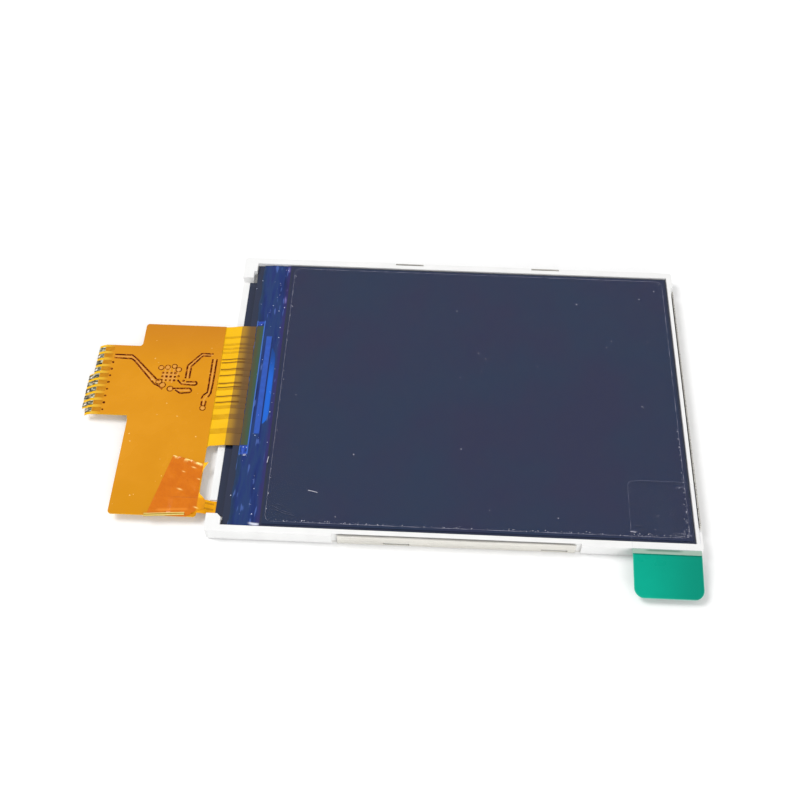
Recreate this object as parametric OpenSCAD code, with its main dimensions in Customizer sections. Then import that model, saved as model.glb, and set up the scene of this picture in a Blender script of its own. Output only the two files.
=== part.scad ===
// TFT display module: a colour panel clipped face up into a white moulded frame with a pressed
// steel tray behind it, an LED backlight, a flexible circuit with solder fingers at one end, and
// a clear screen film with a coloured pull tab.
// X runs along the module, away from the flexible circuit. Z points out of the screen.
// The origin is the centre of the tray's back face.

/* [Module] */
// Length of the module without its flexible circuit
module_l = 55.3; // [54:0.1:57]
// Width of the module
module_w = 40.1; // [39.4:0.1:42]
// Corner radius of the frame in plan
corner_r = 0.4; // [0.2:0.1:0.6]

/* [Rear tray] */
// Thickness of the steel sheet
tray_t = 0.15; // [0.12:0.01:0.2]
// Inside radius of the folds
fold_r = 0.12; // [0.08:0.01:0.14]
// Gap between a folded wall and the frame
wall_gap = 0.15; // [0.14:0.01:0.2]
// Distance of a wall's top edge below the frame's top
wall_drop = 0.05; // [0.02:0.01:0.2]
// Length of the walls on the two long sides
side_wall_l = 26.5; // [25:0.5:30]
// Centre of those walls along X
side_wall_x = 0.4; // [0:0.1:1]
// Length of the wall at the end away from the flexible circuit
end_wall_l = 34.1; // [28:0.1:34.5]
// Height of the rear wall between its two lugs
low_wall_h = 1.0; // [0.8:0.05:1.3]
// Width of the lugs on the rear wall
lug_w = 3.6; // [3.4:0.1:4.4]
// Clearance at each end of a wall in the frame's recess
wall_end_gap = 0.6; // [0.3:0.1:1]
// Distance between the two snap windows of a long side
snap_pitch = 17.6; // [16:0.1:18]
// Centre of the two snap windows along X
snap_x = 2.55; // [2:0.05:3]
// Width of a snap window
window_w = 2.9; // [2.4:0.1:3.2]
// Lower edge of a snap window above the tray's back
window_z = 0.3; // [0.28:0.01:0.35]
// Height of a snap window
window_h = 0.4; // [0.35:0.01:0.5]
// Clearance round a latch in its window
latch_gap = 0.08; // [0.05:0.01:0.1]

/* [Frame] */
// Width of the long rails beside the glass
rail_w = 0.85; // [0.75:0.05:1]
// Width of the end rail beside the glass
end_rail_w = 0.7; // [0.6:0.05:0.9]
// Length of the corner blocks at the flexible circuit's end
block_l = 1.7; // [1.5:0.1:2]
// Width of the rear corner block
rear_block_w = 3.3; // [2.5:0.1:3.6]
// Width of the front corner block
front_block_w = 2.25; // [2:0.05:2.6]
// Chamfer on the front corner block
block_chamfer = 0.45; // [0.2:0.05:0.6]
// Width of the frame's long sides below the glass
side_w = 2.15; // [2:0.05:2.4]
// Width of the frame's far end below the glass
end_w = 1.75; // [1.6:0.05:2]
// Width of the low bar under the flexible circuit
bar_w = 1.35; // [1.1:0.05:1.4]
// Clearance between the glass and the rails
glass_gap = 0.1; // [0.05:0.01:0.15]
// Clearance between the backlight's sheets and the frame
sheet_gap = 0.1; // [0.05:0.01:0.15]

/* [Backlight] */
// Thickness of the reflector
reflector_t = 0.08; // [0.05:0.01:0.12]
// Thickness of the light guide
guide_t = 0.5; // [0.45:0.01:0.6]
// Distance from the low bar to the light guide
led_bay = 3.7; // [3.4:0.1:4]
// Length of the light guide's locating ears
ear_l = 1.6; // [1:0.1:2.2]
// Width of the light guide's locating ears
ear_w = 0.6; // [0.4:0.05:0.7]
// Place of the ears along X
ear_x = 15; // [8:0.5:20]
// Thickness of the diffuser sheet
diffuser_t = 0.06; // [0.05:0.01:0.08]
// Thickness of each prism sheet
prism_t = 0.07; // [0.06:0.01:0.09]
// Thickness of the LED strip
strip_t = 0.1; // [0.08:0.01:0.12]
// Lap of the LED strip on the light guide
strip_lap = 0.5; // [0.3:0.1:0.8]
// Number of side-view LEDs
leds = 4; // [3:1:4]
// Distance between the LEDs
led_pitch = 8.2; // [7.6:0.1:8.6]
// Width of an LED
led_w = 3; // [2.8:0.1:3.2]
// Depth of an LED
led_d = 0.9; // [0.8:0.05:1.1]
// Clearance beside each LED
led_gap = 0.3; // [0.2:0.05:0.4]
// Gap between an LED and the light guide
led_air = 0.05; // [0.03:0.01:0.1]

/* [Panel] */
// Thickness of the rim tape
tape_t = 0.06; // [0.05:0.01:0.08]
// Distance of the rim tape's edge from the module's end
tape_edge = 0.85; // [0.6:0.05:1]
// Border of the filter glass round the window in the rim tape
window_border = 1.35; // [1.2:0.05:1.6]
// Thickness of each polarizer
polarizer_t = 0.12; // [0.1:0.01:0.15]
// Inset of the polarizers from the filter glass
polarizer_inset = 0.25; // [0.15:0.05:0.4]
// Thickness of each sheet of glass
glass_t = 0.3; // [0.25:0.01:0.4]
// Length of the ledge that the filter glass leaves free
ledge_l = 4.25; // [4.1:0.05:4.6]
// Length of the driver chip
chip_l = 14.4; // [12:0.1:16]
// Width of the driver chip
chip_w = 0.65; // [0.5:0.05:0.8]
// Thickness of the driver chip
chip_t = 0.23; // [0.2:0.01:0.24]
// Distance of the driver chip from the filter glass
chip_set = 1.35; // [1.2:0.05:1.5]
// Depth to which the sealing resin stays below the filter glass
resin_drop = 0.02; // [0.01:0.01:0.04]
// Distance of the resin's edge from the end of the glass
resin_set = 0.6; // [0.4:0.05:0.9]

/* [Flexible circuit] */
// Thickness of the polyimide base film
base_t = 0.05; // [0.04:0.01:0.06]
// Thickness of the copper
copper_t = 0.03; // [0.02:0.005:0.04]
// Thickness of the coverlay
coverlay_t = 0.05; // [0.04:0.01:0.06]
// Length of flexible circuit bonded on the ledge
bond_l = 1.75; // [1.5:0.05:1.9]
// Width of the neck
neck_w = 17.6; // [17:0.1:19]
// Centre of the neck across the module
neck_y = 0.3; // [0:0.1:0.5]
// Length of the neck, from the glass to the coverlay
neck_l = 3.05; // [3:0.05:3.5]
// Length of the body along X
body_l = 10; // [9.8:0.1:12]
// Margin of the body beside the LED strip's tail
tail_margin = 0.5; // [0.3:0.05:0.8]
// Height by which the circuit drops from the ledge to its body
drop = 0.35; // [0.25:0.05:0.4]
// Flat stretch between the glass and the first bend of that drop
lead_l = 0.4; // [0.2:0.1:0.8]
// Corner radius of the circuit's outline
flex_r = 0.4; // [0.2:0.1:0.5]
// Number of solder fingers
pins = 10; // [10:1:10]
// Distance between the solder fingers
pitch = 1; // [0.95:0.01:1.05]
// Width of a solder finger
finger_w = 0.62; // [0.55:0.01:0.7]
// Margin of the tab beside the outer fingers
tab_margin = 0.35; // [0.3:0.05:0.5]
// Centre of the tab across the module
tab_y = 0.45; // [0.2:0.05:0.7]
// Length of the tab before its bend
tab_flat = 4.3; // [4:0.1:5]
// Radius of the tab's downward bend
tip_r = 1.5; // [1.3:0.1:1.8]
// Angle of the tab's downward bend
tip_a = 32; // [20:1:34]
// Straight stretch after the bend
tip_l = 0.95; // [0.9:0.05:1]
// Length by which the worn fingers are cut short
worn_l = 0.55; // [0.4:0.05:0.6]
// Diameter of the holes in the fingers
finger_hole_d = 0.36; // [0.3:0.02:0.4]
// Distance of the outer row of holes from the tab's end
hole_set = 0.3; // [0.28:0.01:0.34]
// Distance between the two rows of holes
hole_step = 0.45; // [0.4:0.01:0.5]
// Length of bare finger above the start of the bend
bare_l = 0.2; // [0.1:0.05:0.4]
// Margin of the copper from the circuit's outline
copper_margin = 0.3; // [0.2:0.05:0.4]
// Width of the gaps etched in the copper
gap_w = 0.16; // [0.12:0.01:0.2]

/* [Backlight joint] */
// Width of the LED strip's tail
tail_w = 1.75; // [1.5:0.05:2]
// Length of tail that lies on the body
tail_lap = 2.4; // [2:0.1:2.6]
// Length over which the tail climbs to the body
tail_run = 1.85; // [1.6:0.05:2]
// Length of the solder beads past the tail's end
bead_l = 0.6; // [0.4:0.05:0.65]
// Thickness of the joint's insulating tape
patch_t = 0.05; // [0.04:0.01:0.06]
// Length of the tape from the body's front edge
patch_l = 8; // [7:0.1:9]
// Width of the tape at its rear end
patch_w = 3.7; // [3.5:0.1:4]
// Width of the tape where it folds over the body's front edge
patch_foot = 5.1; // [4.8:0.1:5.4]
// Distance of that fold from the body's end
patch_set = 0.6; // [0.5:0.05:0.8]
// Length by which the tape is folded under the body
patch_fold = 1.6; // [1:0.1:2]
// Lap of the tape's raised part past the tail's end
tent_lap = 0.9; // [0.85:0.05:1.1]
// Margin of the tape's raised part beside the tail
tent_side = 0.25; // [0.15:0.05:0.3]

/* [Screen film] */
// Thickness of the protective film
film_t = 0.07; // [0.05:0.01:0.08]
// Inset of the film from the polarizer
film_inset = 0.3; // [0.2:0.05:0.6]
// Corner radius of the film
film_r = 0.8; // [0.5:0.1:1.2]
// Thickness of the pull tape
pull_t = 0.05; // [0.04:0.01:0.08]
// Width of the pull tape and its grip
pull_w = 7.6; // [7:0.1:8]
// Distance of the pull tape from the module's far end
pull_set = 0.3; // [0.1:0.05:0.5]
// Length of tape on the screen, from the module's front edge
pull_l = 8.7; // [7:0.1:10]
// Lap of the tape on the grip
pull_lap = 0.55; // [0.4:0.05:0.8]
// Length of the grip that stands out in front
grip_l = 5.5; // [4.5:0.1:6]
// Thickness of the grip
grip_t = 0.06; // [0.05:0.01:0.08]
// Angle at which the grip hangs down
grip_a = 11; // [6:1:12]
// Corner radius of the grip
grip_r = 1.1; // [0.6:0.1:1.5]

/* [Hidden] */
$fn = 48;

// Half sizes of the module
half_l = module_l / 2;
half_w = module_w / 2;
// Length by which a cut runs past the face that it opens
over = 1;

// Levels of the stack, each the underside of the layer that it names
guide_z = tray_t + reflector_t;
diffuser_z = guide_z + guide_t;
prism_z = diffuser_z + diffuser_t;
tape_z = prism_z + 2 * prism_t;
polarizer_z = tape_z + tape_t;
array_z = polarizer_z + polarizer_t;
filter_z = array_z + glass_t;
front_z = filter_z + glass_t;
film_z = front_z + polarizer_t;
module_t = film_z + film_t;

// Tray
fold_out = fold_r + tray_t;
recess = tray_t + wall_gap;
wall_h = module_t - wall_drop;

// The frame's seat for the glass, its opening at the circuit's end, and its pocket
seat = [[block_l - half_l, rail_w - half_w], [half_l - end_rail_w, half_w - rail_w]];
mouth_y = [front_block_w - half_w, half_w - rear_block_w];
pocket = [[bar_w - half_l, side_w - half_w], [half_l - end_w, half_w - side_w]];

// Backlight
guide_x = pocket[0].x + led_bay;
strip_x = guide_x + strip_lap;

// Panel
glass = inset(seat, glass_gap);
filter = [[glass[0].x + ledge_l, glass[0].y], glass[1]];
polarizer = inset(filter, polarizer_inset);
view = inset(filter, window_border);

// Flexible circuit: plan places, from the glass outwards
flex_x = glass[0].x + bond_l;
body_x1 = glass[0].x - neck_l;
body_x0 = body_x1 - body_l;
body_y1 = neck_y + neck_w / 2;
tail_y = [mouth_y[0] + 0.3, mouth_y[0] + 0.3 + tail_w];
body_y0 = tail_y[0] - tail_margin;
tab_w = (pins - 1) * pitch + finger_w + 2 * tab_margin;
tip_x = body_x0 - tab_flat;
drop_run = neck_l - lead_l;
drop_a = 2 * atan(drop / drop_run);
drop_r = drop_run / (2 * sin(drop_a));
base_z = filter_z;
body_z = base_z - drop;
body_top = body_z + base_t + copper_t + coverlay_t;

// A box given by two plan corners, drawn in by a margin
function inset(b, m) = [[b[0].x + m, b[0].y + m], [b[1].x - m, b[1].y - m]];

// A fold of radius r through angle a, as n chords of [length, turn]
function bend(r, a, n) = [for (i = [1:n]) [2 * r * sin(abs(a) / n / 2), a / n]];

// The points and headings that a list of [length, turn] steps passes through
function walk(steps, p, a, i = 0) =
    i == len(steps) ? [[p, a]] :
    concat([[p, a]],
           walk(steps, p + steps[i][0] * [cos(a + steps[i][1] / 2), sin(a + steps[i][1] / 2)],
                a + steps[i][1], i + 1));

// The closed outline of a sheet between the distances lo and hi above a walked path
function skin(path, lo, hi) =
    concat([for (q = path) q[0] + lo * [sin(q[1]), -cos(q[1])]],
           [for (i = [len(path) - 1:-1:0]) path[i][0] + hi * [sin(path[i][1]), -cos(path[i][1])]]);

// Side view of the circuit's underside, from its bonded end to the tip of the tab
flex_path = walk(concat([[bond_l + lead_l, 0]],
                        bend(drop_r, drop_a, 6),
                        bend(drop_r, -drop_a, 6),
                        [[body_x1 - tip_x, 0]],
                        bend(tip_r, tip_a, 8),
                        [[tip_l, 0]]),
                 [flex_x, base_z], 180);
tip_end = flex_path[len(flex_path) - 1][0].x;

// Side view of the LED strip and its tail, from its lap on the light guide to its soldered end
tail_rise = body_top - diffuser_z;
tail_a = 2 * atan(tail_rise / tail_run);
tail_r = tail_run / (2 * sin(tail_a));
tail_foot = body_x1 + tail_run + 0.15;
tail_end = body_x1 - tail_lap;
tail_path = walk(concat([[strip_x - tail_foot, 0]],
                        bend(tail_r, -tail_a, 5),
                        bend(tail_r, tail_a, 5),
                        [[body_x1 + 0.15 - tail_end, 0]]),
                 [strip_x, diffuser_z], 180);

// Grip: side view along the module's width
grip_gap = 0.05;
grip_path = walk(concat([[pull_lap, 0]],
                        bend(3, grip_a, 4),
                        [[(grip_l - pull_lap - grip_gap - 3 * sin(grip_a)) / cos(grip_a), 0]]),
                 [-half_w - grip_gap, module_t - grip_t], 180);
pull_x = [half_l - pull_set - pull_w, half_l - pull_set];

// ---------------------------------------------------------------- shared shapes

// A flat plate over the plan box b
module plate(b, z, t) {
    translate([b[0].x, b[0].y, z])
        cube([b[1].x - b[0].x, b[1].y - b[0].y, t]);
}

// A plan box with its four corners rounded
module round_box(b, r) {
    translate([b[0].x, b[0].y + r])
        square([b[1].x - b[0].x, b[1].y - b[0].y - 2 * r]);
    translate([b[0].x + r, b[0].y])
        square([b[1].x - b[0].x - 2 * r, b[1].y - b[0].y]);
    for (x = [b[0].x + r, b[1].x - r], y = [b[0].y + r, b[1].y - r])
        translate([x, y])
            circle(r = r);
}

// A sheet bent along X: its side view drawn across the width from y0 to y1
module sheet_x(outline, y0, y1) {
    translate([0, y1, 0])
        rotate([90, 0, 0])
            linear_extrude(y1 - y0)
                polygon(outline);
}

// Unit vector across the leg i of a line of points
function across(points, i) =
    let (d = points[i + 1] - points[i]) [-d.y, d.x] / norm(d);

// A line of the given width through the points, mitred where it turns
module stroke(points, w) {
    n = len(points) - 1;
    side = [for (i = [0:n])
        let (a = across(points, max(i - 1, 0)), b = across(points, min(i, n - 1)))
            w / 2 * (a + b) / (1 + a * b)];
    polygon(concat([for (i = [0:n]) points[i] + side[i]],
                   [for (i = [n:-1:0]) points[i] - side[i]]));
}

// ---------------------------------------------------------------- rear tray

// Cross section of a folded wall; the tray's floor joins it at the left
module fold_section(h) {
    translate([-recess, 0])
        square([recess, tray_t]);
    translate([0, fold_out])
        intersection() {
            difference() {
                circle(r = fold_out);
                circle(r = fold_r);
            }
            translate([0, -fold_out])
                square(fold_out);
        }
    translate([fold_r, fold_out])
        square([tray_t, h - fold_out]);
}

// A folded wall along X, standing at the rear edge
module wall(l, h) {
    translate([-l / 2, half_w - fold_out, 0])
        rotate([90, 0, 90])
            linear_extrude(l)
                fold_section(h);
}

// Windows for the frame's latches, through the rear wall
module snap_windows() {
    for (s = [-1, 1])
        translate([snap_x + s * snap_pitch / 2 - window_w / 2, half_w - recess, window_z])
            cube([window_w, recess + over, window_h]);
}

module rear_tray() {
    color("lightgray") {
        plate(inset([[-half_l, -half_w], [half_l, half_w]], recess), 0, tray_t);
        // rear wall with its two lugs
        difference() {
            union() {
                translate([side_wall_x, 0, 0])
                    wall(side_wall_l, low_wall_h);
                for (s = [-1, 1])
                    translate([snap_x + s * snap_pitch / 2, 0, 0])
                        wall(lug_w, wall_h);
            }
            snap_windows();
        }
        // front wall
        mirror([0, 1, 0])
            difference() {
                translate([side_wall_x, 0, 0])
                    wall(side_wall_l, wall_h);
                snap_windows();
            }
        // end wall
        translate([half_l - half_w, 0, 0])
            rotate(-90)
                wall(end_wall_l, wall_h);
    }
}

// ---------------------------------------------------------------- frame

// The space that a folded wall and its gap take out of the frame's rear side
module wall_space(l, z) {
    translate([-l / 2 - wall_end_gap, half_w - recess, z])
        cube([l + 2 * wall_end_gap, recess + over, module_t + over]);
}

// Latches that reach into the rear wall's windows, with a sloping lower face
module latches() {
    w = window_w - 2 * latch_gap;
    top = window_z + window_h - latch_gap;
    for (s = [-1, 1])
        translate([snap_x + s * snap_pitch / 2 - w / 2, half_w - recess, 0])
            rotate([90, 0, 90])
                linear_extrude(w)
                    polygon([[-0.1, top], [recess - tray_t / 3, top],
                             [recess - tray_t / 3, top - 0.08], [-0.1, window_z + 0.02]]);
}

// Plan of the seat that holds the glass, open at the circuit's end between the two blocks
module seat_plan() {
    translate(seat[0])
        square(seat[1] - seat[0]);
    polygon([[-half_l - over, mouth_y[0]],
             [seat[0].x - block_chamfer, mouth_y[0]],
             [seat[0].x + 0.01, mouth_y[0] - block_chamfer],
             [seat[0].x + 0.01, mouth_y[1]],
             [-half_l - over, mouth_y[1]]]);
}

// Ribs between the LEDs, and the shoulders beside the outer two
module led_ribs() {
    rib_l = led_bay - 0.1;
    rib_w = led_pitch - led_w - 2 * led_gap;
    last = (leds - 1) / 2 * led_pitch + led_w / 2 + led_gap;
    for (i = [1:1:leds - 1])
        translate([pocket[0].x - 0.1, (i - leds / 2) * led_pitch - rib_w / 2, guide_z])
            cube([rib_l + 0.1, rib_w, guide_t]);
    for (s = [0, 1])
        mirror([0, s, 0])
            translate([pocket[0].x - 0.1, last, guide_z])
                cube([rib_l + 0.1, pocket[1].y - last + 0.1, guide_t]);
}

module frame() {
    color("white") {
        difference() {
            translate([0, 0, tray_t])
                linear_extrude(module_t - tray_t)
                    round_box([[-half_l, -half_w], [half_l, half_w]], corner_r);
            // seat of the glass
            translate([0, 0, tape_z])
                linear_extrude(module_t)
                    seat_plan();
            // pocket of the backlight
            plate(pocket, 0, module_t);
            // notches for the light guide's ears
            plate([[ear_x - ear_l / 2 - sheet_gap, pocket[0].y - ear_w],
                   [ear_x + ear_l / 2 + sheet_gap, pocket[1].y + ear_w]], 0, module_t);
            // recesses for the tray's walls
            translate([side_wall_x, 0, 0])
                mirror([0, 1, 0])
                    wall_space(side_wall_l, 0);
            translate([half_l - half_w, 0, 0])
                rotate(-90)
                    wall_space(end_wall_l, 0);
            intersection() {
                translate([side_wall_x, 0, 0])
                    wall_space(side_wall_l, 0);
                plate([[-half_l, 0], [half_l, module_w]], 0, low_wall_h + 0.05);
            }
            for (s = [-1, 1])
                translate([snap_x + s * snap_pitch / 2, 0, 0])
                    intersection() {
                        wall_space(lug_w, 0);
                        plate([[-lug_w / 2 - 0.1, 0], [lug_w / 2 + 0.1, module_w]], 0, module_t + over);
                    }
            // notch in the low bar for the LED strip's tail
            plate([[-half_l - over, tail_y[0] - 0.15], [pocket[0].x + 0.1, tail_y[1] + 0.15]],
                  diffuser_z - 0.03, module_t);
        }
        led_ribs();
        latches();
        mirror([0, 1, 0])
            latches();
    }
}

// ---------------------------------------------------------------- backlight

module reflector() {
    color("whitesmoke")
        plate(inset(pocket, sheet_gap), tray_t, reflector_t);
}

module light_guide() {
    b = inset(pocket, sheet_gap);
    color("aliceblue") {
        plate([[guide_x, b[0].y], b[1]], guide_z, guide_t);
        plate([[ear_x - ear_l / 2, b[0].y - ear_w], [ear_x + ear_l / 2, b[1].y + ear_w]],
              guide_z, guide_t);
    }
}

// One side-view LED, its window towards the light guide
module led(i) {
    dish = 0.12;
    if (i < leds)
        color("ivory")
            translate([guide_x - led_air - led_d, (i - (leds - 1) / 2) * led_pitch - led_w / 2,
                       guide_z])
                difference() {
                    cube([led_d, led_w, guide_t]);
                    translate([led_d - dish, 0.35, 0.1])
                        cube([dish + over, led_w - 0.7, guide_t - 0.2]);
                }
}

module led_1() {
    led(0);
}

module led_2() {
    led(1);
}

module led_3() {
    led(2);
}

module led_4() {
    led(3);
}

module led_strip() {
    color("orange")
        sheet_x(skin([tail_path[0], [[pocket[0].x + sheet_gap, diffuser_z], 180]], 0, strip_t),
                tail_y[0], leds / 2 * led_pitch - 0.5);
    color("orange")
        sheet_x(skin(tail_path, 0, strip_t), tail_y[0], tail_y[1]);
}

// The sheets above the light guide start beside the LED strip
module backlight_sheet(z, t) {
    b = inset(pocket, sheet_gap);
    plate([[strip_x + sheet_gap, b[0].y], b[1]], z, t);
}

module diffuser() {
    color("white")
        backlight_sheet(diffuser_z, diffuser_t);
}

module lower_prism_sheet() {
    color("gainsboro")
        backlight_sheet(prism_z, prism_t);
}

module upper_prism_sheet() {
    color("lightsteelblue")
        backlight_sheet(prism_z + prism_t, prism_t);
}

// ---------------------------------------------------------------- panel

module rim_tape() {
    b = inset(seat, glass_gap);
    color("black")
        translate([0, 0, tape_z])
            linear_extrude(tape_t)
                difference() {
                    union() {
                        translate(b[0])
                            square(b[1] - b[0]);
                        translate([tape_edge - half_l, mouth_y[0] + 0.15])
                            square([b[0].x - tape_edge + half_l + 0.1, mouth_y[1] - mouth_y[0] - 0.3]);
                    }
                    translate(view[0])
                        square(view[1] - view[0]);
                }
}

module rear_polarizer() {
    color("darkslategray")
        plate(polarizer, polarizer_z, polarizer_t);
}

module array_glass() {
    color("lightcyan")
        plate(glass, array_z, glass_t);
}

module filter_glass() {
    color("midnightblue")
        plate(filter, filter_z, glass_t);
}

module front_polarizer() {
    color("darkslateblue")
        plate(polarizer, front_z, polarizer_t);
}

module driver_chip() {
    color("royalblue")
        translate([filter[0].x - chip_set - chip_w, neck_y - chip_l / 2, filter_z])
            cube([chip_w, chip_l, chip_t]);
}

// Resin poured over the whole ledge: a low edge that climbs to the filter glass
module ledge_resin() {
    x0 = glass[0].x + resin_set;
    x1 = filter[0].x;
    top = front_z - resin_drop;
    color("mediumblue")
        difference() {
            sheet_x([[x0, filter_z], [x0 + 0.1, filter_z + 0.1], [x0 + 0.4, filter_z + 0.15],
                     [x1 - chip_set - chip_w - 0.5, top - 0.08], [x1 - chip_set - chip_w, top],
                     [x1, top], [x1, filter_z]],
                    glass[0].y, glass[1].y);
            translate([x1 - chip_set - chip_w, neck_y - chip_l / 2, filter_z])
                cube([chip_w, chip_l, chip_t]);
            translate([x0 - over, body_y1 - neck_w, filter_z])
                cube([flex_x - x0 + over, neck_w, base_t + copper_t]);
        }
}

// ---------------------------------------------------------------- flexible circuit

// The neck, the body and the tab in plan, grown or drawn in by a margin
module flex_plan() {
    difference() {
        union() {
            translate([body_x1 - over, body_y1 - neck_w])
                square([flex_x - body_x1 + over, neck_w]);
            round_box([[body_x0, body_y0], [body_x1, body_y1]], flex_r);
            translate([body_x1 - over, body_y1 - over])
                square(over);
            translate([tip_end - over, tab_y - tab_w / 2])
                square([body_x0 - tip_end + 2 * over, tab_w]);
            // fillets where the tab and the neck meet the body
            for (s = [-1, 1])
                translate([body_x0, tab_y + s * tab_w / 2])
                    fillet(180 * (1 - s) / 2 + 90);
            translate([body_x1, body_y1 - neck_w])
                fillet(270);
        }
        // the worn fingers end short
        for (i = [0:pins - 1])
            if (worn(i))
                translate([tip_end - over, finger_y(i) - pitch / 2 - (i == pins - 1 ? over : 0)])
                    square([over + worn_l, pitch + (i % (pins - 1) == 0 ? over : 0)]);
    }
}

// A concave fillet that fills the corner between the +X and +Y sides of the turned origin
module fillet(turn) {
    rotate(turn)
        difference() {
            translate([-0.1, -0.1])
                square(flex_r + 0.1);
            translate([flex_r, flex_r])
                circle(r = flex_r);
        }
}

// Place of a finger across the tab, and whether its end is worn short
function finger_y(i) = tab_y + ((pins - 1) / 2 - i) * pitch;
function worn(i) = i < 4 || i == pins - 1;

// Staggered holes through the fingers
module finger_holes() {
    for (i = [0:pins - 1])
        if (i % 2 == 1 || !worn(i))
            translate([tip_end + hole_set + (i % 2) * hole_step, finger_y(i), 0])
                cylinder(d = finger_hole_d, h = module_t + over);
}

// A layer of the circuit between two distances above its underside, cut to a plan outline
module flex_layer(lo, hi) {
    intersection() {
        sheet_x(skin(flex_path, lo, hi), body_y0 - over, body_y1 + over);
        linear_extrude(module_t + over)
            children();
    }
}

// Where the coverlay stops in front of the fingers
bare_x = tip_x - bare_l;

module flex_base() {
    color("gold")
        difference() {
            flex_layer(0, base_t)
                flex_plan();
            finger_holes();
        }
}

// Traces on the bare neck, as [distance from the neck's rear edge, width]
neck_traces = [[1.7, 0.3], [2.8, 0.3], [3.45, 0.25], [4.05, 0.25], [5.1, 0.2], [5.6, 0.2],
               [6.65, 0.4], [7.55, 0.3], [8.7, 0.3], [9.45, 0.5], [10.65, 0.3], [11.5, 0.3],
               [12.2, 0.45], [13.6, 0.7], [15.6, 0.7]];

// Etched gaps between the traces of the body, measured from the tab's root
body_gaps = [
    [[-3.1, 3.8], [-0.9, 3.5], [2.75, 0.1], [3.3, -1]],
    [[-3.1, 3.35], [-1.1, 3.05], [2.35, -0.2], [2.9, -1]],
    [[2.1, 1.9], [2.6, 2.1], [3.1, 1.7], [3.55, 2.25], [4, 1.8], [4.4, 2.4], [4.9, 1.9], [5.2, 1.8]],
    [[3.05, 1.3], [5.4, 1.1], [7.6, 0.05], [7.1, -0.3]],
    [[3.1, 0.7], [5.4, 0.5], [6.6, -0.1]],
    [[5.1, -0.95], [6.9, -0.85], [7.1, -1.45]],
    [[6, 0.6], [6.05, 2.85], [7.6, 4.3], [9.55, 4.4], [9.35, 0], [9.15, -1.75], [8.55, -2.35],
     [8.75, -3.6]],
    [[6.4, 0.8], [6.45, 2.65], [7.75, 3.85], [9.05, 3.9], [8.9, 0], [8.7, -1.6], [8.1, -2.1]]
];

module flex_copper() {
    color("chocolate")
        flex_layer(base_t, base_t + copper_t) {
            // traces along the neck
            for (t = neck_traces)
                translate([body_x1 - copper_margin, body_y1 - t[0] - t[1] / 2])
                    square([flex_x - body_x1 + copper_margin, t[1]]);
            // copper of the body and the tab, with the gaps etched out of it
            difference() {
                union() {
                    round_box(inset([[body_x0, body_y0], [body_x1, body_y1]], copper_margin),
                              copper_margin);
                    translate([tip_x + over, tab_y - tab_w / 2 + copper_margin])
                        square([body_x0 - tip_x, tab_w - 2 * copper_margin]);
                }
                translate([body_x0, tab_y])
                    for (g = body_gaps)
                        stroke(g, gap_w);
            }
            for (i = [0:pins - 1])
                translate([bare_x, finger_y(i) - finger_w / 2])
                    square([tip_x + over - bare_x, finger_w]);
        }
}

module flex_coverlay() {
    color("orange")
        flex_layer(base_t + copper_t, base_t + copper_t + coverlay_t)
            intersection() {
                flex_plan();
                translate([bare_x, body_y0])
                    square([body_x1 - bare_x, body_y1 - body_y0]);
            }
}

module solder_fingers() {
    color("silver")
        difference() {
            flex_layer(base_t, base_t + copper_t + 0.01)
                intersection() {
                    flex_plan();
                    for (i = [0:pins - 1])
                        translate([tip_end - over, finger_y(i) - finger_w / 2])
                            square([bare_x - tip_end + over, finger_w]);
                }
            finger_holes();
        }
}

// ---------------------------------------------------------------- backlight joint

// Two solder beads at the end of the LED strip's tail
module joint_solder() {
    color("silver")
        for (s = [-1, 1])
            translate([tail_end, (tail_y[0] + tail_y[1]) / 2 + s * tail_w / 4, body_top])
                rotate([90, 0, 0])
                    translate([0, 0, -tail_w / 6])
                        linear_extrude(tail_w / 3)
                            polygon([[-bead_l, 0], [0, 0], [0, strip_t], [-bead_l / 4, strip_t]]);
}

// Polyimide tape over the joint, tented over the tail and folded under the body's front edge
module joint_tape() {
    rear_y = body_y0 + patch_l;
    x1 = body_x1 - patch_set;
    x0 = x1 - patch_foot;
    edge_x = body_x1 - strip_t;
    tent = [[tail_end - tent_lap, tail_y[0] - tent_side], [x1 + strip_t, tail_y[1] + tent_side]];
    top = body_top + strip_t + patch_t;
    color("darkorange")
        difference() {
            union() {
                translate([0, 0, body_top])
                    linear_extrude(patch_t)
                        polygon([[edge_x - patch_w, rear_y], [edge_x, rear_y - 0.1 * patch_l],
                                 [x1, body_y0 - patch_t], [x0, body_y0 - patch_t]]);
                translate([0, tent[1].y, 0])
                    rotate([90, 0, 0])
                        linear_extrude(tent[1].y - tent[0].y)
                            polygon([[tent[0].x - 4 * strip_t, body_top],
                                     [tent[0].x + 2 * strip_t, top],
                                     [tent[1].x, top], [tent[1].x, body_top]]);
                // fold round the edge
                plate([[x0, body_y0 - patch_t], [x1, body_y0]],
                      body_z - patch_t, body_top - body_z + 2 * patch_t);
                plate([[x0, body_y0 - patch_t], [x1, body_y0 + patch_fold]],
                      body_z - patch_t, patch_t);
            }
            // the tail and the solder beads under the tent
            plate([[tail_end - bead_l, tail_y[0]], [body_x1 + over, tail_y[1]]],
                  body_top - 0.001, strip_t + 0.001);
        }
}

// ---------------------------------------------------------------- screen film

module protective_film() {
    color("lightblue", 0.5)
        translate([0, 0, film_z])
            linear_extrude(film_t)
                round_box(inset(polarizer, film_inset), film_r);
}

module pull_tape() {
    color("lightblue", 0.5)
        translate([0, 0, module_t])
            linear_extrude(pull_t)
                round_box([[pull_x[0], -half_w - grip_gap - pull_lap],
                           [pull_x[1], -half_w + pull_l]], 0.8);
}

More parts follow.
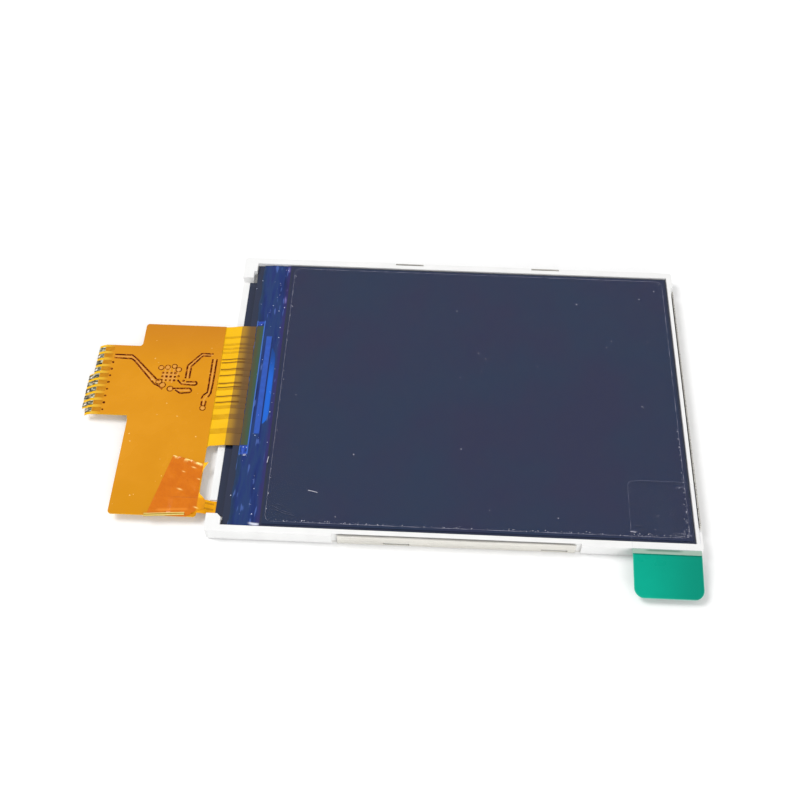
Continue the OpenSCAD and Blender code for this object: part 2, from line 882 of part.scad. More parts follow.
module pull_grip() {
    color("mediumseagreen")
        intersection() {
            translate([pull_x[0], 0, 0])
                rotate([90, 0, 90])
                    linear_extrude(pull_w)
                        polygon(skin(grip_path, 0, grip_t));
            linear_extrude(module_t + over) {
                round_box([[pull_x[0], -half_w - grip_l], [pull_x[1], -half_w + over]], grip_r);
                translate([pull_x[0], -half_w - 1])
                    square([pull_w, 1.5]);
            }
        }
}

rear_tray();
frame();
reflector();
light_guide();
led_1();
led_2();
led_3();
led_4();
led_strip();
diffuser();
lower_prism_sheet();
upper_prism_sheet();
rim_tape();
rear_polarizer();
array_glass();
filter_glass();
front_polarizer();
driver_chip();
ledge_resin();
flex_base();
flex_copper();
flex_coverlay();
solder_fingers();
joint_solder();
joint_tape();
protective_film();
pull_tape();
pull_grip();
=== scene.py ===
# %% [markdown]
# # A small colour display module: surfaces and fine detail
# The part is a thin flat sandwich: a white moulded frame, a steel tray behind it, dark glass in
# front, and an amber flexible circuit that leaves the glass at one end. The solids arrive ready
# made in metres. This lesson gives each of them its surface, and adds the fine things that are
# too small or too soft for the solids: resin, etched lines, creases, dust and scratches.

import math
import random

import bmesh
import bpy
import numpy as np
from mathutils import Matrix, Vector, noise


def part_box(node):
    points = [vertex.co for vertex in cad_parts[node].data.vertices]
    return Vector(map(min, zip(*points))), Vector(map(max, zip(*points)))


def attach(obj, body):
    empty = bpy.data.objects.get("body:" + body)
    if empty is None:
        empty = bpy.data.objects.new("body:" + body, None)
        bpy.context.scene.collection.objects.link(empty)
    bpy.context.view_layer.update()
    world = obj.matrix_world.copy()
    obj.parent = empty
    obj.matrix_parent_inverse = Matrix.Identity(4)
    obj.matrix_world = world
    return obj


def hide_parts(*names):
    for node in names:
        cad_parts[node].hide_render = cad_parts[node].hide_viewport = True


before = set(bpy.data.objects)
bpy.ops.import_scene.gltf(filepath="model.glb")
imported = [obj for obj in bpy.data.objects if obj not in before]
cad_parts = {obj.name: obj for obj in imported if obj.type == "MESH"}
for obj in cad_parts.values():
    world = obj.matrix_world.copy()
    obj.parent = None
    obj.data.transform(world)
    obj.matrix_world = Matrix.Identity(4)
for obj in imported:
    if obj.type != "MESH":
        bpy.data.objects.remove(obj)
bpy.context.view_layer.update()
scene = bpy.context.scene
mm = 0.001


def span(name):
    """Lowest and highest corner of a solid, in millimetres."""
    low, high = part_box(name)
    return low / mm, high / mm


# %% [markdown]
# ## Colours and nodes
# Colours are written the way a paint chart gives them, as hex values of a screen. Shaders work
# with linear light, so one function converts them. A second function adds any node with its
# settings and links, so that a whole material reads as a short list.

# %% Colour and node helpers


def ink(code, alpha=1.0):
    """A hex colour as linear light."""
    parts = [int(code[i:i + 2], 16) / 255 for i in (0, 2, 4)]
    return [c / 12.92 if c <= 0.04045 else ((c + 0.055) / 1.055) ** 2.4 for c in parts] + [alpha]


def put(tree, kind, links=None, **settings):
    """Adds a node with its settings. A link's value is a socket, a node whose first output is
    meant, or a constant to set."""
    n = tree.nodes.new(kind)
    for key, value in settings.items():
        if key == "stops":
            ramp = n.color_ramp.elements
            while len(ramp) < len(value):
                ramp.new(1.0)
            for stop, (place, colour) in zip(ramp, value):
                stop.position, stop.color = place, ink(colour)
        else:
            setattr(n, key, value)
    for key, value in (links or {}).items():
        if isinstance(value, bpy.types.Node):
            value = value.outputs[0]
        if isinstance(value, bpy.types.NodeSocket):
            tree.links.new(value, n.inputs[key])
        else:
            n.inputs[key].default_value = value
    return n


print("white reads as", [round(c, 3) for c in ink("ffffff")])

# %% [markdown]
# ## One recipe for every finish
# Real surfaces of this size share a make-up: a colour that drifts in soft spots, a gloss that
# varies a little, a shallow relief, and tints where something lies behind or on top. One recipe
# builds all of that from sizes in millimetres. Tints follow a painted attribute or an axis.

# %% The recipe
usual = (0.3, 0.7)  # the noise that mottles a surface seldom leaves this range


def finish(name, stops, spot=1.0, stretch=(1, 1, 1), gloss=None, relief=0.0, tints=(),
           clear=None, mirror=0.5, **constants):
    """A material. stops are two hex colours, or pairs of a place in the noise and a hex. spot
    is the size of the mottling and relief its depth, in millimetres. A tint is (attribute, hex)
    or ((axis, from, to), hex), clear is (attribute, low, high), and mirror is how strongly
    the surface reflects, 0.5 for most."""
    if isinstance(stops[0], str):
        stops = list(zip(usual, stops))
    m = bpy.data.materials.new(name)
    m.use_nodes = True
    tree = m.node_tree
    shader = tree.nodes["Principled BSDF"]
    shader.inputs["Specular IOR Level"].default_value = mirror
    for key, value in constants.items():
        shader.inputs[key.replace("_", " ")].default_value = value
    point = put(tree, "ShaderNodeTexCoord").outputs["Object"]
    spread = put(tree, "ShaderNodeVectorMath", {0: point, 1: [s / (spot * mm) for s in stretch]},
                 operation="MULTIPLY")
    mottle = put(tree, "ShaderNodeTexNoise",
                 {"Vector": spread, "Scale": 1.0, "Detail": 3.0, "Roughness": 0.55})
    colour = put(tree, "ShaderNodeValToRGB", {0: mottle}, stops=stops).outputs[0]
    axes = put(tree, "ShaderNodeSeparateXYZ", {0: point})
    for mask, tone in tints:
        if isinstance(mask, str):
            amount = put(tree, "ShaderNodeAttribute", attribute_name=mask).outputs["Fac"]
        else:
            amount = put(tree, "ShaderNodeMapRange",
                         {0: axes.outputs[mask[0]], 1: mask[1] * mm, 2: mask[2] * mm},
                         interpolation_type="SMOOTHSTEP")
        colour = put(tree, "ShaderNodeMix", {0: amount, 6: colour, 7: ink(tone)},
                     data_type="RGBA").outputs[2]
    tree.links.new(colour, shader.inputs["Base Color"])
    if gloss:
        rough = put(tree, "ShaderNodeMapRange",
                    {0: mottle, 1: usual[0], 2: usual[1], 3: gloss[0], 4: gloss[1]})
        tree.links.new(rough.outputs[0], shader.inputs["Roughness"])
    if relief:
        swell = put(tree, "ShaderNodeBump",
                    {"Height": mottle, "Distance": relief * mm, "Strength": 1.0})
        tree.links.new(swell.outputs[0], shader.inputs["Normal"])
    if clear:
        veil = put(tree, "ShaderNodeAttribute", attribute_name=clear[0]).outputs["Fac"]
        alpha = put(tree, "ShaderNodeMapRange", {0: veil, 3: clear[1], 4: clear[2]})
        tree.links.new(alpha.outputs[0], shader.inputs["Alpha"])
    return m


print("recipe ready")

# %% [markdown]
# ## The camera
# The module lies flat and is seen from its long front side, from a little over half way up.
# A focal length near 51 mm on a 36 mm sensor gives the mild perspective of a hand-held close-up.
# The camera is placed, aimed at a point on the table, and rolled by under a degree.

# %% Camera


def stand(name, data):
    """Puts a new object in the scene."""
    o = bpy.data.objects.new(name, data)
    scene.collection.objects.link(o)
    return o


camera = scene.camera = stand("camera", bpy.data.cameras.new("camera"))
camera.data.lens = 51.32
camera.data.sensor_width = 36
camera.data.clip_start = 0.005
eye = Vector((-4.152, -78.702, 114.345)) * mm
aim = Vector((-6.659, -0.199, 0.0)) * mm
roll = math.radians(0.743)
turn = (aim - eye).to_track_quat("-Z", "Y").to_matrix().to_4x4()
camera.matrix_world = Matrix.Translation(eye) @ turn @ Matrix.Rotation(roll, 4, "Z")
print("camera stands", round((eye - aim).length / mm, 1), "mm from its aim")

# %% [markdown]
# ## Table and light
# A white board and big soft lamps, as on a product table. The light stays moderate, so that the
# white frame keeps its shading. The backdrop becomes white only where the camera sees it,
# straight or through clear parts. Gloss mirrors the dimmer room above, or the dark glass and the
# amber films would look washed out, but the bright board below, so that the steel sides stay
# pale. A low lamp lights the sides.

# %% Table, surroundings and lamps
half, drop = 3.0, 0.00002  # half the board's width, and how far below the part it lies
corners = [(x * half, y * half, -drop) for x, y in ((-1, -1), (1, -1), (1, 1), (-1, 1))]
table_mesh = bpy.data.meshes.new("table")
table_mesh.from_pydata(corners, [], [(0, 1, 2, 3)])
table = stand("table", table_mesh)


def seen_rays(tree, *more):
    """1 for rays sent out by the camera, by clear parts, or as one of the kinds in more."""
    path = put(tree, "ShaderNodeLightPath")
    seen = path.outputs["Is Camera Ray"]
    for kind in ("Is Transmission Ray",) + more:
        seen = put(tree, "ShaderNodeMath", {0: seen, 1: path.outputs[kind]}, operation="MAXIMUM")
    return seen


# matt white paper board: soft shadows stay, the rest reads as plain white
board = finish("white_paper_board", ("e9e9e9", "ececec"), 2.0, Roughness=0.9, mirror=0.1)
# the lamps fade with distance, so the board glows more the further out it is
near, far, near_glow, far_glow = 0.03, 1.0, 0.14, 0.52
tree = board.node_tree
shader = tree.nodes["Principled BSDF"]
place = put(tree, "ShaderNodeTexCoord").outputs["Object"]
away = put(tree, "ShaderNodeVectorMath", {0: place}, operation="LENGTH").outputs["Value"]
even = put(tree, "ShaderNodeMapRange", {0: away, 1: near, 2: far, 3: near_glow, 4: far_glow})
glow = put(tree, "ShaderNodeEmission", {"Color": (1, 1, 1, 1), "Strength": even})
lift = put(tree, "ShaderNodeMixShader", {0: seen_rays(tree, "Is Glossy Ray"), 2: glow})
both = put(tree, "ShaderNodeAddShader", {0: shader, 1: lift})
tree.links.new(both.outputs[0], tree.nodes["Material Output"].inputs["Surface"])
table.data.materials.append(board)

room_light, backdrop_white = 0.56, 1.0
world = scene.world = bpy.data.worlds.new("studio")
world.use_nodes = True
tree = world.node_tree
tree.nodes.clear()
lit = put(tree, "ShaderNodeBackground", {"Color": (1, 1, 1, 1), "Strength": room_light})
white = put(tree, "ShaderNodeBackground", {"Color": (1, 1, 1, 1), "Strength": backdrop_white})
choice = put(tree, "ShaderNodeMixShader", {0: seen_rays(tree), 1: lit, 2: white})
put(tree, "ShaderNodeOutputWorld", {"Surface": choice})


def softbox(name, place, size, watts):
    """A round soft lamp at a place in metres, turned to the part."""
    lamp = bpy.data.lights.new(name, "AREA")
    lamp.shape, lamp.size, lamp.energy = "DISK", size, watts
    o = stand(name, lamp)
    o.location = place
    o.rotation_euler = (-Vector(place)).to_track_quat("-Z", "Y").to_euler()


softbox("key_softbox", (-0.42, 0.10, 0.62), 0.34, 3.3)
softbox("fill_softbox", (0.30, -0.55, 0.40), 0.40, 0.8)
softbox("edge_softbox", (0.45, -0.62, 0.14), 0.40, 2.0)
scene.view_settings.view_transform = "Standard"

# %% [markdown]
# ## Broken edges
# No moulded or folded edge is perfectly sharp. The solids are exact, so each visible one is
# copied, its flat faces are joined, and a narrow bevel breaks its edges to catch the light. The
# copy is then shown in place of its solid.

# %% Copying a solid with broken edges


def own(o, slot, stands_for=True):
    """A new piece rides with the part; it may stand for the solid named slot, which is then hidden.
    """
    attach(o, "root")
    if stands_for:
        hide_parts(slot)
    return o


def cover(o, *materials):
    """Gives an object these materials and no others."""
    o.data.materials.clear()
    for m in materials:
        o.data.materials.append(m)
    return o


def settled(o):
    """The mesh an object has once its modifiers have run, with the modifiers taken off."""
    graph = bpy.context.evaluated_depsgraph_get()
    mesh = bpy.data.meshes.new_from_object(
        o.evaluated_get(graph), preserve_all_data_layers=True, depsgraph=graph)
    o.modifiers.clear()
    o.data = mesh
    return mesh


# angles: faces within joined become one, edges past fold get a bevel, past crisp shade sharp
joined, fold, crisp = math.radians(1), math.radians(28), math.radians(40)


def broken_edges(node, width, name):
    """A copy of a solid with its edges bevelled by a width in millimetres."""
    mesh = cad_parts[node].data.copy()
    mesh.name = name
    b = bmesh.new()
    b.from_mesh(mesh)
    bmesh.ops.remove_doubles(b, verts=b.verts, dist=0.0005 * mm)
    # edges too short for a bevel are closed up first, or a wide face would cross over itself
    bmesh.ops.dissolve_degenerate(b, dist=0.004 * mm, edges=b.edges)
    bmesh.ops.dissolve_limit(b, angle_limit=joined, verts=b.verts, edges=b.edges)
    sharp = [e for e in b.edges if len(e.link_faces) == 2 and e.calc_face_angle(0) > fold]
    bmesh.ops.bevel(b, geom=sharp, offset=width * mm, segments=2, profile=0.6,
                    affect="EDGES", clamp_overlap=False)
    b.to_mesh(mesh)
    b.free()
    mesh.shade_smooth()
    mesh.set_sharp_from_angle(angle=crisp)
    o = stand(name, mesh)
    # the big faces decide the shading, so the bevels bend the light and the flats stay flat
    weigh = o.modifiers.new("weigh", "WEIGHTED_NORMAL")
    weigh.weight, weigh.keep_sharp = 100, True
    settled(o)
    return own(o, node)


moulding = broken_edges("frame", 0.035, "moulded_frame")
tray = broken_edges("rear_tray", 0.02, "folded_tray")
print("frame faces:", len(moulding.data.polygons), "tray faces:", len(tray.data.polygons))

# %% [markdown]
# ## Frame and tray
# The frame is injection moulded from white polycarbonate: satin, with the faint orange-peel of
# the tool's spark-eroded wall. The tray is pressed from bright rolled stainless strip, streaked
# along its length by the rolls.

# %% Moulded white and rolled steel
# satin moulding: shading stays soft and the white a little warm
cover(moulding, finish("white_moulded_polycarbonate", ("e9e9e8", "eeeeed"), 2.5,
                       gloss=(0.38, 0.48), relief=0.01, IOR=1.58))
# rolled strip: long pale streaks, glossy along the rolling
cover(tray, finish("rolled_stainless_strip", [(0.25, "d9d6cf"), (0.75, "eceae3")], 0.25,
                   (0.04, 1, 1), gloss=(0.22, 0.40), relief=0.003, Metallic=1.0))
print("frame and tray covered")

# %% [markdown]
# ## Glass and polarizer
# The screen is dark because its polarizing film soaks up what enters: what remains is deep
# blue-black under the pale reflection of the room, drifting slowly between violet and green as
# a stretched film does. The bare ledge of the lower glass is greyer, for black tape is behind it.

# %% Dark screen and ledge
# hard-coated film: deep, smooth, drifting from blue-green to violet
polarizer = finish("hard_coated_polarizer", [(0.38, "1b2a46"), (0.52, "1e2845"), (0.64, "212644")],
                   11.0, gloss=(0.10, 0.16), IOR=1.5)
# ground glass over black tape: a greyer dark with crisp reflections
ledge_glass = finish("ground_display_glass", ("202b42", "252b44"), 2.5,
                     gloss=(0.08, 0.16), IOR=1.52)
cover(broken_edges("front_polarizer", 0.015, "front_polarizer_film"), polarizer)
cover(broken_edges("filter_glass", 0.02, "upper_glass"), ledge_glass)
cover(broken_edges("array_glass", 0.02, "lower_glass"), ledge_glass)
print("screen reaches, in mm:", [round(v, 2) for v in span("front_polarizer")[1]])

# %% [markdown]
# ## The hidden layers
# Reflector, light guide, lamps, diffuser, prism sheets and tapes show only as thin lines at the
# open edges, but each gets the finish of its own material. Their solids are right as they are.

# %% Materials of the inner layers
inner = {
    # silvered polyester: bright and even
    "reflector": finish("silvered_polyester_film", ("e4e6e8", "f0f1f2"), 3, gloss=(0.2, 0.3)),
    # moulded acrylic: clear, glassy edges
    "light_guide": finish("moulded_acrylic_sheet", ("dfe7ea", "e9f0f2"), 4,
                          gloss=(0.06, 0.1), IOR=1.49, Transmission_Weight=0.6),
    # frosted polyester: milky and dull
    "diffuser": finish("frosted_polyester_sheet", ("e2e3e6", "ececef"), 0.1,
                       relief=0.002, Roughness=0.6),
    # ribbed polyester: ribs every 0.05 mm, drawn at 0.15 mm so that they show
    "lower_prism_sheet": finish("ribbed_polyester_sheet", ("c8d0d6", "dbe2e7"),
                                0.15, (1, 0.01, 1), relief=0.004, Roughness=0.3),
    # black tape: smooth film, as dark as the glass that lies on it
    "rim_tape": finish("black_double_sided_tape", ("1f2940", "242a42"), 0.6,
                       relief=0.002, Roughness=0.16),
    # dyed film: nearly black, softly glossy
    "rear_polarizer": finish("rear_polarizing_film", ("14161c", "1c1f27"), 5,
                             gloss=(0.15, 0.25)),
    # white lamp housings with a warm phosphor face
    "led_1": finish("white_led_housing", ("e6e2d2", "f0edde"), 0.8, gloss=(0.3, 0.4)),
    # polished silicon: a dark blue mirror
    "driver_chip": finish("polished_silicon", ("15203c", "1f2d52"), 1.0,
                          gloss=(0.08, 0.14), Metallic=0.4),
    # solder beads: bright, slightly grainy where they froze
    "joint_solder": finish("bright_solder", ("b9b8b4", "d6d5d1"), 0.2,
                           relief=0.01, gloss=(0.2, 0.4), Metallic=1.0),
}
inner["upper_prism_sheet"] = inner["lower_prism_sheet"]
for n in (2, 3, 4):
    inner[f"led_{n}"] = inner["led_1"]
for node, material in inner.items():
    cover(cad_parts[node], material)
print("inner layers finished:", len(inner))

# %% [markdown]
# ## Soft sheets from a grid of points
# Resin, tapes and films are thin bodies with a free upper surface. Each is a grid of points in
# rows, closed by a lower surface, with painted marks that the finish can read. A grid keeps every
# surface smooth and every edge where it is wanted.

# %% Building a closed sheet


def ease(a, b, v):
    """0 before a, 1 after b, smooth between."""
    t = np.clip((np.asarray(v, float) - a) / (b - a), 0, 1)
    return t * t * (3 - 2 * t)


def band(v, a, b, soft):
    """1 between a and b, with soft flanks."""
    return ease(a - soft, a + soft, v) * (1 - ease(b - soft, b + soft, v))


def hump(v, middle, width):
    """1 in the middle, and nearly 0 from two widths away."""
    return np.exp(-((v - middle) / width) ** 2)


def ripple(x, y, size, seed=0.0):
    """Smooth hills and hollows of the given size in millimetres, from about -1 to 1."""
    flat = [noise.noise((a / size, b / size, seed)) for a, b in zip(np.ravel(x), np.ravel(y))]
    return np.reshape(flat, np.shape(x))


def sheet_piece(name, node, top, low, marks, material, stands_for=True):
    """A closed body under a grid of points in mm. low is a level, or a grid of lower points."""
    rows, cols = top.shape[:2]
    count = rows * cols
    index = np.arange(count).reshape(rows, cols)
    ring = np.concatenate([index[0, :-1], index[:-1, -1], index[-1, :0:-1], index[:0:-1, 0]])
    quads = np.stack([index[:-1, :-1], index[1:, :-1], index[1:, 1:], index[:-1, 1:]], -1)
    quads = quads.reshape(-1, 4)
    upper = top.reshape(-1, 3)
    if np.ndim(low):
        lower, under = low.reshape(-1, 3), ring + count
        base = (quads[:, ::-1] + count).tolist()
    else:
        lower, under = upper[ring] * [1, 1, 0] + [0, 0, low], count + np.arange(len(ring))
        base = [under[::-1].tolist()]
    walls = np.stack([ring, np.roll(ring, -1), np.roll(under, -1), under], -1)
    mesh = bpy.data.meshes.new(name)
    mesh.from_pydata((np.concatenate([upper, lower]) * mm).tolist(), [],
                     quads.tolist() + base + walls.tolist())
    for mark, values in marks.items():
        above = np.ravel(values)
        # a flat underside is one clean face, and carries no marks
        below = above if np.ndim(low) else 0 * ring
        layer = mesh.attributes.new(mark, "FLOAT", "POINT")
        layer.data.foreach_set("value", np.concatenate([above, below]).astype(np.float32))
    b = bmesh.new()
    b.from_mesh(mesh)
    bmesh.ops.recalc_face_normals(b, faces=b.faces)
    b.to_mesh(mesh)
    b.free()
    mesh.shade_smooth()
    mesh.set_sharp_from_angle(angle=math.radians(50))
    own(cover(stand(name, mesh), material), node, stands_for)
    print(name, "has", len(mesh.polygons), "faces")


print("ripple test:", round(float(ripple([1.0], [2.0], 3.0)[0]), 3))

# %% [markdown]
# ## Blue resin on the ledge
# Clear blue resin is poured over the driver chip and the end of the flexible circuit, and cured
# by ultraviolet light. It creeps up the edge of the upper glass, ends in a wavy edge outwards,
# and stands as a low bead over the circuit's end. The grid's height gives all of this.

# %% Resin shape
low, high = span("ledge_resin")
chip_low, chip_high = span("driver_chip")
neck = (-8.5, 9.1)  # where the circuit's end lies under the resin, along Y
ends = ((9.2, 9.85), (-9.75, -8.6))  # the bare bead past the circuit's corners, along Y
bead_out, bead_in = -25.0, -24.08  # the bead's edges along X
yy = np.linspace(low.y, high.y, 440)
edge = low.x + 0.12 + 0.13 * ripple(yy, 0 * yy, 2.3, 4.0) + 0.05 * ripple(yy, 0 * yy, 0.5, 9.0)
across = np.linspace(0, 1, 74)
x = edge[:, None] + across[None, :] * (high.x - edge)[:, None]
y = np.repeat(yy[:, None], len(across), 1)
lumps = ripple(x, y, 0.9, 2.0)
fine = ripple(x, y, 0.28, 6.0)
bead = band(x, bead_out, bead_in, 0.035) * band(y, -9.85, 9.75, 0.10)
# painted highlights: pale lines along the bead's inner edge, and along its outer edge at the ends
bead_line = (hump(x, bead_in + 0.02, 0.045) * band(y, -9.75, 9.95, 0.12)
             + hump(x, bead_out, 0.04) * (band(y, 9.1, 10.0, 0.1) + band(y, -9.8, -8.6, 0.1)))
chip = band(x, chip_low.x, chip_high.x, 0.03) * band(y, chip_low.y, chip_high.y, 0.06)
# painted shadow: a dark line along the chip's right side
chip_shade = hump(x, chip_high.x + 0.07, 0.06) * band(y, -6.9, 7.3, 0.2)
# a lens of thick resin stands beside the chip, widest in its middle
lens_foot = chip_high.x + 0.17
bulge = np.interp(y, [-5.6, -4.9, -4.0, 0.0, 4.2, 4.9, 5.9], [0, 0.47, 0.62, 0.62, 0.58, 0.48, 0])
lens = band(x, lens_foot, lens_foot + bulge, 0.05) * ease(0.02, 0.2, bulge)
under_flex = band(x, -24.98, -24.12, 0.03) * band(y, *neck, 0.05)
streak = ease(0.42, 0.62, ripple(x * 3.4, y * 0.45, 0.8, 15.0))
streak = streak * (1 - chip) * (1 - lens) * (1 - under_flex)
# past the circuit's corners the bead is clear and lit from its ends
bead_end = band(x, -24.98, -24.1, 0.05) * sum(band(y, *end, 0.1) for end in ends)
bead_end = bead_end * ease(-0.5, 0.2, ripple(x, y, 0.4, 11.0))
frost = np.exp(-((x + 22.2) / 0.55) ** 4 - ((y + 18.82 + 0.12 * (x + 22.2)) / 0.14) ** 4)
# thin at the wavy edge, thicker inwards, hollow before the upper glass, and never past the solid
skin = (0.02 + 0.10 * ease(0, 0.22, x - edge[:, None]) + 0.10 * ease(-24.7, -23.8, x)
        - 0.06 * hump(x, -22.3, 0.3) * (1 - lens) + 0.05 * ease(-21.9, high.x, x)
        + 0.05 * bead + 0.012 * chip + 0.016 * lumps + 0.004 * fine)
skin = np.minimum(skin, high.z - low.z + 0.001 * fine)
skin = np.maximum(skin, (chip_high.z - low.z + 0.02 + 0.002 * fine) * (chip > 0.001))
resin_top = np.stack([x, y, low.z + np.maximum(skin, 0.01)], -1)
print("resin from", round(float(edge.min()), 2), "to", round(high.x, 2), "mm along X")

# %% [markdown]
# The resin is one wet, glossy body. Its colour changes with what lies under it, and is a brighter
# blue where it is thick beside the chip, with a painted highlight towards the front. Each mark of
# the grid brings in one such colour.

# %% Resin finish
# ultraviolet-cured acrylic resin: wet gloss, deep blue, paler where it thins at its edge
resin_tints = [
    ("thin", "1c3450"), ("violet", "33275e"), ("fringe", "7a72b4"), ("under_flex", "4c4c34"),
    ("green", "3a5240"), ("chip_shade", "0b1d52"), ("lens", "12428c"), ("lens_low", "1a62cc"),
    ("chip", "2f58b8"), ("bead_end", "2a4cb4"), ("bead_line", "4a80e0"), ("streak", "5a78c8"),
    ("frost", "e8ecfa")]
resin_stops = [(0.30, "12224e"), (0.44, "1a2f6c"), (0.56, "213a6a"), (0.70, "20306a")]
resin = finish("cured_blue_resin", resin_stops, 1.0, (1.2, 0.16, 1), tints=resin_tints,
               relief=0.006, Roughness=0.07, IOR=1.48, mirror=0.32)
resin_marks = {
    "thin": 0.75 * (1 - ease(0.1, 0.7, x - edge[:, None] + 0.25 * lumps)),
    "green": under_flex * ease(-24.8, -24.3, x + 0.1 * lumps),
    "violet": 0.7 * ease(-22.3, -21.7, x + 0.2 * lumps) * (1 - lens),
    # painted highlight: a pale violet band where the resin meets the upper glass, at the rear
    "fringe": (0.8 * band(x, -21.95, -21.72, 0.05) * ease(0.0, 0.4, lumps)
               * band(y, 13.0, 18.6, 0.8)),
    "under_flex": under_flex,
    # painted highlight: the lens grows brighter towards the front
    "lens": lens * (0.9 + 0.1 * fine), "lens_low": lens * ease(-5.4, -0.6, -y),
    "chip": chip * np.clip(0.84 + 0.16 * ripple(x, y, 0.5, 21.0), 0, 1),
    "chip_shade": 0.9 * chip_shade, "streak": 0.45 * streak, "bead_end": 0.85 * bead_end,
    "bead_line": np.clip(bead_line, 0, 1), "frost": frost}
sheet_piece("poured_resin", "ledge_resin", resin_top, low.z, resin_marks, resin)

# %% [markdown]
# ## Growing small things with geometry nodes
# Bubbles, plated holes, punched dots and dust all repeat one small form on points. One tree
# places a flattened ball or a ring on each vertex of a base mesh, varies its size from a fixed
# seed, turns it at random, and makes the result real. The base mesh only says where.

# %% The stamping tree


def open_tree(name, taken, floats, whole=()):
    """A geometry tree with named inputs and one result; returns it and the inputs' sockets."""
    tree = bpy.data.node_groups.new(name, "GeometryNodeTree")
    sockets = [(taken, "INPUT", "Geometry")]
    sockets += [(label, "INPUT", "Float") for label in floats]
    sockets += [(label, "INPUT", "Int") for label in whole]
    for label, way, kind in sockets + [("Result", "OUTPUT", "Geometry")]:
        tree.interface.new_socket(label, in_out=way, socket_type="NodeSocket" + kind)
    return tree, put(tree, "NodeGroupInput").outputs


def stamping_tree(name, material, ring=False):
    """A tree that puts a ball, or a ring, on every vertex of what it is given."""
    tree, given = open_tree(name, "Places", ("Radius", "Flatness", "Least", "Most"), ("Seed",))
    if ring:
        path = put(tree, "GeometryNodeCurvePrimitiveCircle", {0: 20, 4: given["Radius"]})
        thin = put(tree, "ShaderNodeMath", {0: given["Radius"], 1: 0.17}, operation="MULTIPLY")
        wire = put(tree, "GeometryNodeCurvePrimitiveCircle", {0: 6, 4: thin})
        form = put(tree, "GeometryNodeCurveToMesh", {0: path, 1: wire})
    else:
        form = put(tree, "GeometryNodeMeshIcoSphere", {0: given["Radius"], 1: 2})
    squash = put(tree, "ShaderNodeCombineXYZ", {0: 1.0, 1: 1.0, 2: given["Flatness"]})
    form = put(tree, "GeometryNodeTransform", {0: form, "Scale": squash})
    size = put(tree, "FunctionNodeRandomValue",
               {2: given["Least"], 3: given["Most"], 8: given["Seed"]}, data_type="FLOAT")
    spin = put(tree, "FunctionNodeRandomValue",
               {0: (0, 0, 0), 1: (0, 0, 6.28), 8: given["Seed"]}, data_type="FLOAT_VECTOR")
    stamps = put(tree, "GeometryNodeInstanceOnPoints",
                 {"Points": given["Places"], "Instance": form, "Rotation": spin,
                  "Scale": size.outputs[1]})
    real = put(tree, "GeometryNodeRealizeInstances", {0: stamps})
    done = put(tree, "GeometryNodeSetMaterial", {"Geometry": real, "Material": material})
    put(tree, "NodeGroupOutput", {0: done})
    return tree


lengths = ("Radius", "Width", "Bank", "Height", "Turn")


def grow(name, node, tree, points, edges=(), **sizes):
    """Runs a tree on points in mm and lays the result on a node, as a plain mesh."""
    base = bpy.data.meshes.new(name)
    base.from_pydata([[c * mm for c in p] for p in points], edges, [])
    o = stand(name, base)
    modifier = o.modifiers.new("grow", "NODES")
    modifier.node_group = tree
    for item in tree.interface.items_tree:
        if item.in_out == "INPUT" and item.name in sizes:
            unit = mm if item.name in lengths else 1
            modifier[item.identifier] = sizes[item.name] * unit
    mesh = settled(o)
    while None in list(mesh.materials):
        mesh.materials.pop(index=list(mesh.materials).index(None))
    mesh.shade_smooth()
    own(o, node, False)
    print(name, "has", len(mesh.polygons), "faces")


def stamp(name, node, material, points, ring=False, **sizes):
    """Stamps balls or rings on points in mm, and lays them on a node."""
    grow(name, node, stamping_tree(name + "_tree", material, ring), points, **sizes)


def at(level, places):
    """Flat places lifted to one level."""
    return [(a, b, level) for a, b in places]


print("lengths that the trees take in mm:", lengths)

# %% [markdown]
# Bubbles and pinholes sit on the skin of the resin: the larger ones where it closed over a
# corner or an edge, the pinholes anywhere.

# %% Bubbles in the resin
# air bubble or dust caught in resin: wet, painted pale as a highlight
bubble_and_highlight = finish("air_bubble_and_painted_highlight", ("b9c6f0", "dfe6fb"), 0.05, Roughness=0.15)
bubbles = [(-23.31, 12.44), (-22.51, 11.64), (-21.85, 12.2), (-21.95, 18.4), (-22.1, 9.0),
           (-22.11, 7.43), (-22.02, -3.74), (-22.69, -14.3), (-22.59, -17.58), (-24.46, 9.35),
           (-23.40, -7.15), (-21.85, -8.03), (-24.58, -8.79), (-24.2, -8.85), (-25.75, 15.29),
           (-25.12, 16.65), (-25.26, -15.19)]
random.seed(3)
strewn = [(random.uniform(-24.9, -21.8), random.uniform(-18.8, 18.8)) for _ in range(30)]


def on_resin(places):
    """Places lifted to the skin of the resin."""
    rows = [int(np.argmin(abs(yy - b))) for a, b in places]
    return [(a, b, float(np.interp(a, x[row], resin_top[row, :, 2])))
            for row, (a, b) in zip(rows, places)]


stamp("resin_bubbles", "ledge_resin", bubble_and_highlight, on_resin(bubbles), Radius=0.055,
      Flatness=0.5, Least=0.8, Most=1.3, Seed=2)
stamp("resin_pinholes", "ledge_resin", bubble_and_highlight, on_resin(strewn), Radius=0.026,
      Flatness=0.4, Least=0.5, Most=1.4, Seed=5)

# %% [markdown]
# ## The flexible circuit
# Polyimide film, etched copper and an amber coverlay. Bare base film glows yellow over the white
# table, turns brown over the dark ledge, and green under the resin. The coverlay hides most of
# the copper; its colour deepens towards the rear and it is clear again near the fingers, where
# the copper shows as ten strips.

# %% Film, copper and tin
dim = 0.15  # how strongly these films mirror the room: only faintly
rise, ledge = (-26.9, -26.78), (-26.7, -25.6)  # where the circuit climbs to the dark ledge, in X
# bare film: clear yellow over white, brown over the dark ledge
base_film = finish("polyimide_base_film", ("ecb405", "f1bc08"), 3.0,
                   tints=[(("X", *rise), "aa7f26"), (("X", *ledge), "6f522e")],
                   gloss=(0.15, 0.25), IOR=1.7, mirror=dim)
